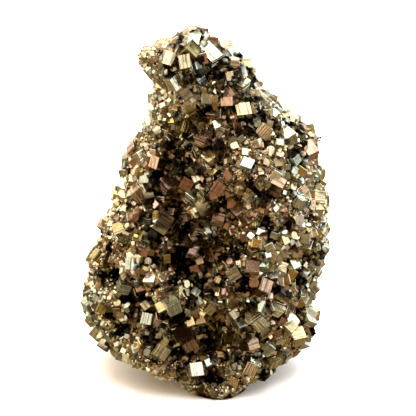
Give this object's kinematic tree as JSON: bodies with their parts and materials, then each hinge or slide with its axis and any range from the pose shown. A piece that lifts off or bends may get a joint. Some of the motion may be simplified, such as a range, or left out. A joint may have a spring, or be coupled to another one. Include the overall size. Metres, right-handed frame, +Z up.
{
  "type": "pyrite specimen",
  "caption": "Pear-shaped lump of intergrown pyrite crystals, narrow at the crown and wide at the belly, that stands upright on a flat foot.",
  "frame": {"origin": "on the floor, under the middle of the specimen's bounding box", "axes": "+Z up from the foot to the crown, +X to the right of someone facing the show face, +Y from the show face to the back; the show face looks along -Y"},
  "size_m": [0.0666, 0.055, 0.0941],
  "materials": {
    "massive_pyrite": "massive iron sulphide, metallic lustre under a brown-bronze patina",
    "pyrite_cubes": "bright metallic lustre, pale brass, finely striated faces",
    "pyrite_pyritohedra": "metallic lustre, bronze to olive, finely striated faces",
    "pyrite_twins": "bright metallic lustre, nearly white on broken faces"
  },
  "bodies": {
    "root": {"matrix": "massive_pyrite", "back_cube_1": "pyrite_cubes", "back_cube_2": "pyrite_cubes", "back_cube_3": "pyrite_cubes", "back_pyritohedron_1": "pyrite_pyritohedra", "belly_cube_1": "pyrite_cubes", "belly_cube_10": "pyrite_cubes", "belly_cube_2": "pyrite_cubes", "belly_cube_3": "pyrite_cubes", "belly_cube_4": "pyrite_cubes", "belly_cube_5": "pyrite_cubes", "belly_cube_6": "pyrite_cubes", "belly_cube_7": "pyrite_cubes", "belly_cube_8": "pyrite_cubes", "belly_cube_9": "pyrite_cubes", "belly_pyritohedron_1": "pyrite_pyritohedra", "belly_twin_1": "pyrite_twins", "crown_cube_1": "pyrite_cubes", "crown_cube_2": "pyrite_cubes", "crown_cube_3": "pyrite_cubes", "crown_cube_4": "pyrite_cubes", "crown_cube_5": "pyrite_cubes", "crown_cube_6": "pyrite_cubes", "crown_pyritohedron_1": "pyrite_pyritohedra", "flank_cube_1": "pyrite_cubes", "flank_cube_10": "pyrite_cubes", "flank_cube_2": "pyrite_cubes", "flank_cube_3": "pyrite_cubes", "flank_cube_4": "pyrite_cubes", "flank_cube_5": "pyrite_cubes", "flank_cube_6": "pyrite_cubes", "flank_cube_7": "pyrite_cubes", "flank_cube_8": "pyrite_cubes", "flank_cube_9": "pyrite_cubes", "flank_pyritohedron_1": "pyrite_pyritohedra", "flank_twin_1": "pyrite_twins", "foot_cube_1": "pyrite_cubes", "foot_cube_2": "pyrite_cubes", "foot_cube_3": "pyrite_cubes", "neck_cube_1": "pyrite_cubes", "neck_cube_2": "pyrite_cubes", "neck_cube_3": "pyrite_cubes", "neck_cube_4": "pyrite_cubes", "neck_cube_5": "pyrite_cubes", "neck_pyritohedron_1": "pyrite_pyritohedra", "shoulder_cube_1": "pyrite_cubes", "shoulder_cube_2": "pyrite_cubes", "shoulder_cube_3": "pyrite_cubes", "shoulder_cube_4": "pyrite_cubes", "shoulder_cube_5": "pyrite_cubes", "shoulder_pyritohedron_1": "pyrite_pyritohedra", "valley_cube_1": "pyrite_cubes", "valley_cube_2": "pyrite_cubes", "valley_cube_3": "pyrite_cubes", "valley_cube_4": "pyrite_cubes", "valley_cube_5": "pyrite_cubes", "valley_cube_6": "pyrite_cubes"}
  },
  "joints": []
}
